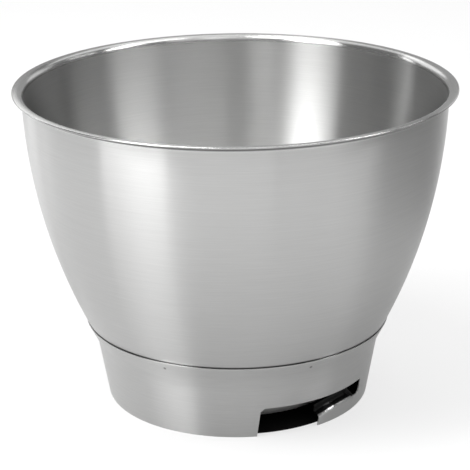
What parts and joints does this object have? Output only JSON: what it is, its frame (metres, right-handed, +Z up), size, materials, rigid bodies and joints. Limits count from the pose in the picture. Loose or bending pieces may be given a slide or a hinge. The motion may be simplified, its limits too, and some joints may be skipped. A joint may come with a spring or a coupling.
{
  "type": "stand mixer bowl",
  "caption": "Deep round steel mixing bowl with a turned-out rim and a welded foot ring that locks by bayonet slots.",
  "frame": {"origin": "centre of the foot ring, on the surface that the bowl stands on", "axes": "+Z up along the bowl's axis, through the rim; -Y towards the front, where one bayonet slot opens just to the right"},
  "size_m": [0.236, 0.236, 0.172],
  "materials": {
    "bowl_steel": "brushed round the bowl, satin",
    "ring_steel": "brushed round the ring, satin"
  },
  "bodies": {
    "root": {"bowl_shell": "bowl_steel", "foot_ring": "ring_steel"}
  },
  "joints": []
}
